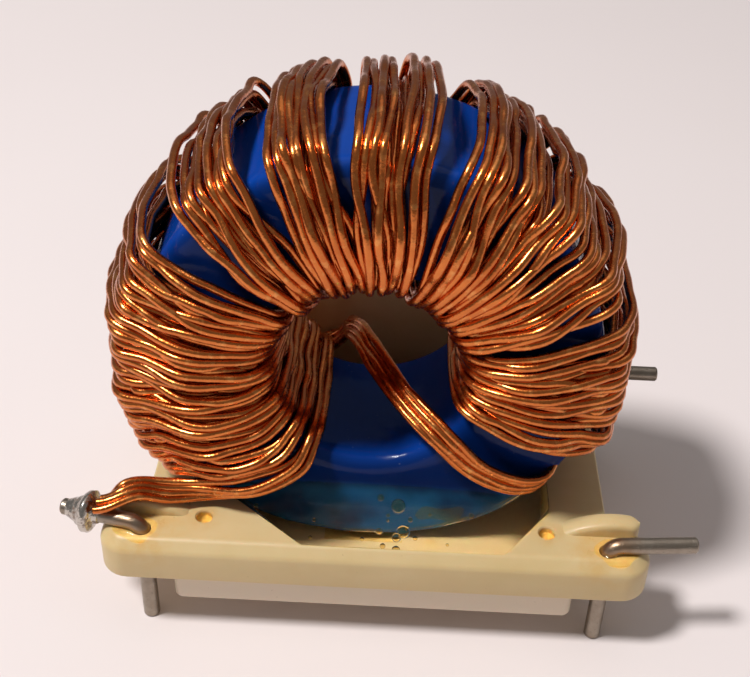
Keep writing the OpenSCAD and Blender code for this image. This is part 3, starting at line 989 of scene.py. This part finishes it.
# the core's face and the flat top of the base in mm, for the two tables of leads
FACE_MM = FACE_Y / MM
TOP_MM = BASE_TOP / MM
LEAD_IN = [
    (over_ear(-1, -1.5, -1.3, 2.25), (-0.25, 0.9, 0.3)),
    (over_ear(-1, -0.4, -1.9, 2.25), (-0.3, 0.9, 0.3)),
    ((-15.2, -FACE_MM - 1.7, TOP_MM + 1.65), (-0.3, 0.6, 0.7)),
    ((-12.98, -FACE_MM - 1.3, TOP_MM + 1.5), (-0.4, 0.1, 0.9)),
]
LEAD_OUT = [
    (off_core(13.4, -FACE_MM + 1.4, -8.1), (0.4, -0.15, 0.9)),
    (off_core(12.6, -FACE_MM - 0.3, -8.7), (0.25, -0.3, 0.9)),
    (off_core(10.4, -FACE_MM - 0.9, -8.4), (0.2, -0.05, 0.95)),
    (off_core(7.5, -FACE_MM - 1, -6.8), (0.45, -0.1, 0.9)),
    (off_core(5.5, -FACE_MM - 0.7, -4.8), (0.7, -0.1, 0.7)),
    (off_core(3.1, -FACE_MM + 1.2, -3.5), (0.7, 0.1, 0.7)),
    (off_core(0.9, -1.5, -2.9), (0.6, 0.3, 0.7)),
    (off_core(-0.9, 2, -2.9), (0.4, 0.5, 0.75)),
    (off_core(-2.0, FACE_MM - 1.4, -4.0), (0.2, 0.85, 0.5)),
    (off_core(-2.2, FACE_MM + 0.8, -5.7), (0, 1, 0.25)),
    (off_core(-3.4, FACE_MM + 2.2, -7.8), (0, 1, 0.3)),
    ((-7.5, FACE_MM + 2.4, TOP_MM + 2.3), (-0.1, 0.8, 0.6)),
    ((-11.5, FACE_MM + 2.75, TOP_MM + 1.95), (-0.1, 0.8, 0.6)),
    ((-15.2, FACE_MM + 2.5, TOP_MM + 2.1), (0, 0.9, 0.4)),
    (over_ear(1, -0.7, -1.6, 2.15), (0.2, 0.95, 0.2)),
    (over_ear(1, -1.7, -1.2, 2.15), (0.1, 0.95, 0.1)),
]


def under_points(j):
    """The middle line of strand j in the layer underneath, from the hole round to the hole."""
    apart = (j - 1.5) * UNDER_PITCH
    flat = FACE_Y - CORE_ROUND
    c = math.sqrt(0.5)
    e = CORE_GAP + STRAND_D / 2
    er = CORE_ROUND + e
    corner_out = CORE_RO - CORE_ROUND
    corner_in = CORE_RI + CORE_ROUND
    # one side, from the hole outwards: radius, distance off the middle plane, share of the outer angle
    way = [
        (corner_in - er * c, flat + er * c, 0), (corner_in, flat + er, 0),
        (MIDDLE_R, flat + er + 0.5 * FACE_ARCH, 0.55),
        (corner_out, flat + er, 1), (corner_out + er * c, flat + er * c, 1),
    ]
    points = []
    for turn, following in zip(UNDER, UNDER[1:]):
        outer, front, back = turn[0], turn[1], following[1]
        points += [round_core(r, -y, outer * f + front * (1 - f), apart) for r, y, f in way]
        points.append(round_core(CORE_RO + e + turn[2] * MM, 0, outer, apart))
        points += [round_core(r, y, outer * f + back * (1 - f), apart) for r, y, f in way[::-1]]
        points.append(round_core(CORE_RI - e, 0, back, apart))
    return points[2:-2]


def strand_points(j):
    """The middle line of strand j from bead to bead."""
    points = [beside_arm("front_left", 0.35, j, 1.14), beside_arm("front_left", -0.35, j, 1.2)]
    points += [lead(middle, direction, j, -1) for middle, direction in LEAD_IN]
    for i in range(len(TURNS)):
        first = 4 if i == 0 else 0
        last = 0 if i == len(TURNS) - 1 else STATIONS - 1
        points += [station(i, j, k) for k in range(first, last + 1)]
    points += [lead(middle, direction, j, 1) for middle, direction in LEAD_OUT]
    points += [beside_arm("back_left", -0.3, j, 1.23), beside_arm("back_left", 0.35, j, 1.14)]
    return points


def wire_shape(material):
    """A round wire along its source curve, softened at the corners, wandering and rising.

    It wanders along the circle round the core's axis, most outside the ring, and rises in places
    off the core. Both fade out low down, towards the base.
    """
    shape = Shape("wound_wire", {
        "wire radius": STRAND_D / 2,
        "sides": 10,
        "step": 0.40 * MM,
        "softening": 2,
        "wander": 0.30 * MM,
        "wander outside": 0.50 * MM,
        "wander length": 8.0 * MM,
        "rise": 0.35 * MM,
        "rise length": 3.2 * MM,
        "seed": 1.0,
    })
    source = Field(shape, shape.start.outputs["Geometry"])
    soft = shape.add("GeometryNodeCurveSplineType", {"spline_type": "CATMULL_ROM"}, {"Curve": source})
    even = shape.add("GeometryNodeResampleCurve", {"mode": "LENGTH"}, {
        "Curve": soft, "Length": shape.given("step"),
    })
    place = shape.add("GeometryNodeInputPosition")
    blurred = shape.add("GeometryNodeBlurAttribute", {"data_type": "FLOAT_VECTOR"}, {
        "Value": place, "Iterations": shape.given("softening"),
    })
    eased = shape.add("GeometryNodeSetPosition", {}, {"Geometry": even, "Position": blurred})
    drift = shape.add("ShaderNodeTexNoise", {"noise_dimensions": "4D"}, {
        "Vector": place, "W": shape.given("seed"), "Scale": 1 / shape.given("wander length"), "Detail": 1.0,
    })
    from_axis = shape.vector("SUBTRACT", place, (CORE_X, 0, CORE_Z))
    spoke = shape.vector("MULTIPLY", from_axis, (1, 0, 1))
    radius = shape.vector("LENGTH", spoke, out=1)
    sideways = shape.vector("CROSS_PRODUCT", (0, 1, 0), spoke)
    height = shape.add("ShaderNodeSeparateXYZ", {}, {"Vector": place}, out=2)
    outside = radius.over(CORE_RO - 3 * MM, CORE_RO + 1 * MM)
    room = shape.given("wander") + (shape.given("wander outside") - shape.given("wander")) * outside
    wound = height.over(9.5 * MM, 13 * MM)
    shift = shape.vector("SCALE", sideways, Scale=(drift - 0.5) * room * wound * 2.0 / radius)
    swell = shape.add("ShaderNodeTexNoise", {"noise_dimensions": "4D"}, {
        "Vector": place, "W": shape.given("seed") + 20.0,
        "Scale": 1 / shape.given("rise length"), "Detail": 0.0,
    })
    ring_middle = shape.vector("SCALE", spoke, Scale=MIDDLE_R / radius)
    away = shape.vector("NORMALIZE", shape.vector("SUBTRACT", from_axis, ring_middle))
    lift = shape.vector("SCALE", away, Scale=swell.over(0.35, 0.68) * shape.given("rise") * wound)
    both = shape.vector("ADD", shift, lift)
    moved = shape.add("GeometryNodeSetPosition", {}, {"Geometry": eased, "Offset": both})
    section = shape.add("GeometryNodeCurvePrimitiveCircle", {"mode": "RADIUS"}, {
        "Resolution": shape.given("sides"), "Radius": shape.given("wire radius"),
    })
    wire = shape.add("GeometryNodeCurveToMesh", {}, {
        "Curve": moved, "Profile Curve": section, "Fill Caps": True,
    })
    shape.end(wire, material)
    return shape


def enamelled_copper():
    finish = Finish("enamelled_copper")
    copper = (0.80, 0.25, 0.052)
    brown = (0.50, 0.115, 0.020)
    golden = (1.00, 0.52, 0.17)
    cloud = finish.spots(2.6 * MM, 3.0, 0.55)
    fine = finish.spots(0.7 * MM, 2.0, 0.5, seed=1.0)
    colour = finish.blend((cloud * 1.5 - 0.3).clip(), brown, copper)
    colour = finish.blend(fine.over(0.5, 0.8) * 0.45, colour, golden)
    grain = finish.spots(0.22 * MM, 2.0, 0.5, seed=2.0)
    return finish.finish(
        Base_Color=colour,
        Metallic=1.0,
        Roughness=0.19 + fine * 0.14,
        Coat_Weight=0.35,
        Coat_Roughness=0.17,
        Coat_IOR=1.5,
        Normal=finish.bumps(grain + fine * 1.4, 0.020 * MM),
    )


def guide_curve(name, lines):
    """A curve object through the given lines of points, for a geometry tree to work on."""
    data = bpy.data.curves.new(name, "CURVE")
    data.dimensions = "3D"
    for points in lines:
        spline = data.splines.new("POLY")
        spline.points.add(len(points) - 1)
        for place, point in zip(spline.points, points):
            place.co = (*point, 1.0)
    return placed(name, data)


wire = wire_shape(enamelled_copper())
for j in range(STRANDS):
    lines = [strand_points(j), under_points(j)]
    strand = wire.made(f"wire_{j + 1}", guide_curve("guide", lines), seed=7.0 + 3.1 * j)
    outwards(strand)
    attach(strand, "root")
    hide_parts(f"strand_{j + 1}")

# ---------------------------------------------------------------------------------------------
# Solder beads. The four wire ends are wrapped round each left arm just past the base and drowned
# in solder, which leaves a fat disc with a cone on each side, brown in patches with burnt flux.
# ---------------------------------------------------------------------------------------------


def bead(pin):
    """A lumpy solder bead round a left arm, with the wrapped ends showing as ridges in it."""
    foot, out, _ = pin_frame(pin)
    across = Vector((-out.y, out.x, 0))
    up = Vector((0, 0, 1))
    start = BASE_W / 2 - LEG_X
    profile = [
        (0.00, 0.63), (0.05, 0.72), (0.22, 0.78), (0.38, 0.84), (0.46, 1.10), (0.56, 1.36),
        (0.70, 1.52), (0.88, 1.56), (1.06, 1.52), (1.20, 1.40), (1.30, 1.24), (1.42, 1.14),
        (1.58, 1.10), (1.72, 1.00), (1.86, 0.92), (2.02, 0.86), (2.20, 0.78), (2.36, 0.71),
        (2.48, 0.66), (2.54, 0.61),
    ]
    rings = []
    for distance, radius in profile:
        ring = []
        for q in circle(1.0, 48):
            lump = noise.noise(Vector((q.x * 1.4, q.y * 1.4, distance * 1.1 + foot.y / MM)))
            ridge_wave = 0.03 * math.sin(distance * 14 + 2 * math.atan2(q.y, q.x))
            grow = (radius - 0.6) / 0.95
            r = (radius + grow * (0.13 * lump + ridge_wave) - 0.02) * MM
            centre = foot + out * (start + distance * MM) + up * ARM_Z
            ring.append(centre + across * q.x * r + up * q.y * r)
        rings.append(ring)
    return outwards(stacked("bead", rings))


def solder_metal():
    finish = Finish("solder_metal")
    cloud = finish.spots(0.9 * MM, 3.0, 0.55)
    flux = finish.spots(0.7 * MM, 3.0, 0.6, seed=1.0).over(0.50, 0.66)
    colour = finish.blend(cloud, (0.68, 0.64, 0.58), (0.45, 0.41, 0.36))
    colour = finish.blend(flux * 0.9, colour, (0.11, 0.045, 0.015))
    wrinkle = finish.spots(0.32 * MM, 2.0, 0.5, seed=2.0)
    return finish.finish(
        Base_Color=colour,
        Metallic=1 - flux * 0.85,
        Roughness=0.14 + cloud * 0.16,
        Coat_Weight=flux * 0.8,
        Coat_Roughness=0.05,
        Normal=finish.bumps(wrinkle + cloud, 0.06 * MM),
    )


solder = solder_metal()
for pin in ("front_left", "back_left"):
    blob = bead(pin)
    blob.name = "bead_" + pin
    smooth(blob, 60)
    blob.data.materials.append(solder)
    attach(blob, "root")
    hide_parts("solder_" + pin)

# ---------------------------------------------------------------------------------------------
# Setting. A pale sheet under the part, a small round lamp high on the left, a wide weak one above
# and a plain dim room all round, with the camera above in front.
# ---------------------------------------------------------------------------------------------


def pale_sheet():
    finish = Finish("pale_sheet")
    cloud = finish.spots(60 * MM, 2.0, 0.5)
    colour = finish.blend(cloud, (0.785, 0.71, 0.695), (0.82, 0.75, 0.735))
    return finish.finish(Base_Color=colour, Roughness=0.8, Specular_IOR_Level=0.2)


# radius of the sheet in metres
SHEET_R = 1.2
floor = stacked("floor", [level(circle(SHEET_R, 96), z) for z in (-1 * MM, 0.0)])
floor.data.materials.append(pale_sheet())

world = bpy.data.worlds.new("room")
bpy.context.scene.world = world
world.use_nodes = True
room = Tree(world.node_tree)
# brightness of the room as light on the part, and as the camera sees it
ROOM_LEVEL = 0.18
BACKDROP_LEVEL = 0.85
camera_ray = room.add("ShaderNodeLightPath")
background = world.node_tree.nodes["Background"]
room.put(background.inputs["Color"], (1.0, 0.97, 0.96))
room.put(background.inputs["Strength"], camera_ray * (BACKDROP_LEVEL - ROOM_LEVEL) + ROOM_LEVEL)
AIM = Vector((0, 0, 15 * MM))


def lamp(name, direction, distance, size, level_on_floor, colour):
    """A round lamp aimed at the part, which lights a flat white sheet to the given level."""
    toward = Vector(direction).normalized()
    data = bpy.data.lights.new(name, "AREA")
    data.shape = "DISK"
    data.size = size
    # a disc lamp of power P gives P / (pi * distance ** 2) on its axis; white shows that over pi
    data.energy = level_on_floor * math.pi * math.pi * distance ** 2 / max(toward.z, 0.1)
    data.color = colour
    made = placed(name, data)
    made.location = AIM + toward * distance
    made.rotation_euler = toward.to_track_quat("Z", "Y").to_euler()


lamp(
    "fill", (0.1, 0.25, 1.0), distance=0.60, size=0.60, level_on_floor=0.11, colour=(1.0, 0.96, 0.95),
)
lamp(
    "main", (-0.44, -0.20, 0.87), distance=0.60, size=0.10, level_on_floor=0.88,
    colour=(1.0, 0.985, 0.985),
)

camera_data = bpy.data.cameras.new("camera")
camera_data.sensor_width = 36.0
camera_data.lens = 57.6
camera_data.clip_start = 0.005
camera_data.clip_end = 5.0
camera = placed("camera", camera_data)
right = Vector((0.99878, 0.04060, 0.02821))
upward = Vector((-0.04660, 0.58296, 0.81117))
back = -Vector((-0.01649, 0.81149, -0.58414))
facing = Matrix((right, upward, back)).transposed()
stand = (0.78 * MM, -70.96 * MM, 69.93 * MM)
camera.matrix_world = Matrix.Translation(stand) @ facing.to_4x4()
bpy.context.scene.camera = camera
bpy.context.scene.view_settings.view_transform = "Standard"
